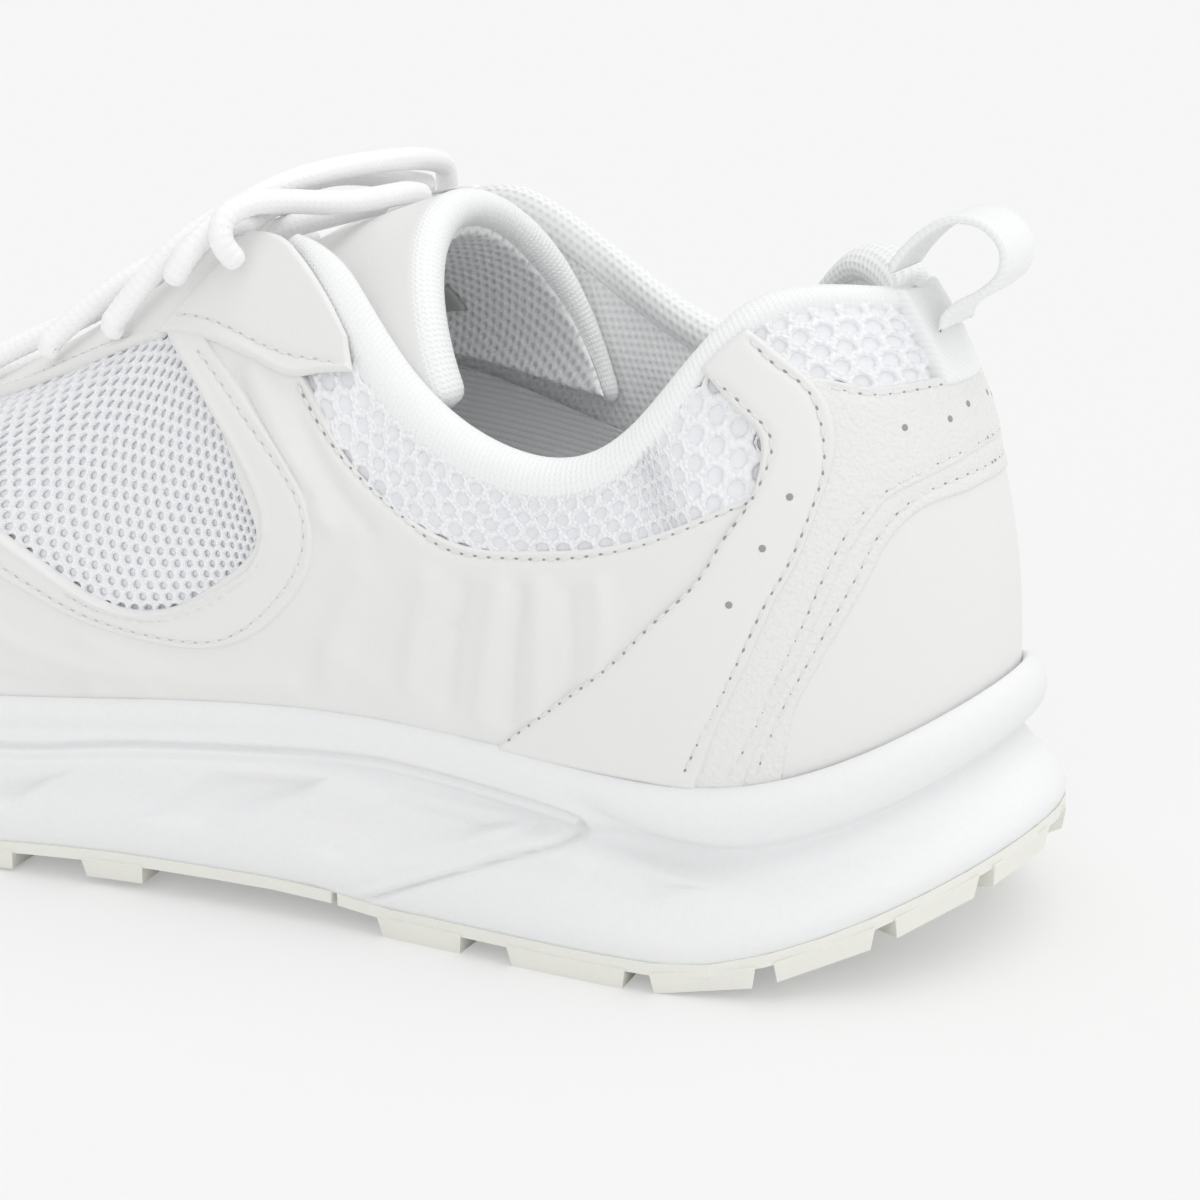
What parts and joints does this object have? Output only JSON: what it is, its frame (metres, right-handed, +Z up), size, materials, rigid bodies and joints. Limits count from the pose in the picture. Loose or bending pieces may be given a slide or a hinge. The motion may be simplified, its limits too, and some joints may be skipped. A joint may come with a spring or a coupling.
{
  "type": "running shoe",
  "caption": "Low-top running shoe for the left foot with a mesh and leather upper, a two-block midsole, a lugged outsole, a padded tongue, laces and a heel pull loop.",
  "frame": {"origin": "on the ground under the middle of the shoe's own outline (laces left out)", "axes": "+X from the heel to the toe, +Y to the outer (lateral) side, +Z up"},
  "size_m": [0.2945, 0.1201, 0.1185],
  "materials": {
    "leather": "satin",
    "mesh": "matte",
    "knit": "matte",
    "foam": "satin",
    "outsole_rubber": "satin",
    "label": "matte",
    "lace": "matte",
    "tip": "gloss"
  },
  "bodies": {
    "shoe": {"outsole_heel": "outsole_rubber", "outsole_front": "outsole_rubber", "midsole_main": "foam", "midsole_front": "foam", "strobel_board": "knit", "heel_counter": "foam", "toe_puff": "foam", "lining_toe": "knit", "lining_lateral": "knit", "lining_medial": "knit", "lining_heel": "knit", "collar_foam": "foam", "vamp_mesh": "mesh", "collar_mesh_lateral": "mesh", "collar_mesh_medial": "mesh", "heel_mesh": "mesh", "toe_cap": "leather", "eyestay_lateral": "leather", "eyestay_medial": "leather", "eyestay_top_lateral": "leather", "eyestay_top_medial": "leather", "quarter_lateral": "leather", "quarter_medial": "leather", "crescent_lateral": "leather", "crescent_medial": "leather", "heel_stripe_lateral": "leather", "heel_stripe_medial": "leather", "heel_saddle": "leather", "heel_band": "leather", "heel_panel": "leather", "collar_binding": "knit", "gusset_lateral": "knit", "gusset_medial": "knit", "loop_tab_outer": "knit", "loop_tab_inner": "knit", "lace_rows": "lace", "lace_turn": "lace", "lace_end_lateral": "lace", "lace_end_medial": "lace", "aglet_lateral": "tip", "aglet_medial": "tip"},
    "tongue": {"tongue_face": "leather", "tongue_foam": "foam", "tongue_lining": "mesh", "tongue_binding": "knit", "tongue_label": "label"},
    "insole": {"insole_foam": "foam", "insole_cloth": "mesh"},
    "loop": {"pull_loop": "knit"}
  },
  "joints": [
    {"name": "tongue_fold", "type": "hinge", "parent": "shoe", "child": "tongue", "pos_m": [0.069, -0.001, 0.0545], "axis": [0, 1, 0], "range_deg": [-3, 0]},
    {"name": "insole_lift", "type": "hinge", "parent": "shoe", "child": "insole", "pos_m": [0.134, -0.008, 0.026], "axis": [0, 1, 0], "range_deg": [0, 4]},
    {"name": "loop_pull", "type": "hinge", "parent": "shoe", "child": "loop", "pos_m": [-0.1298, -0.0005, 0.0975], "axis": [0, 1, 0], "range_deg": [-20, 0]}
  ]
}
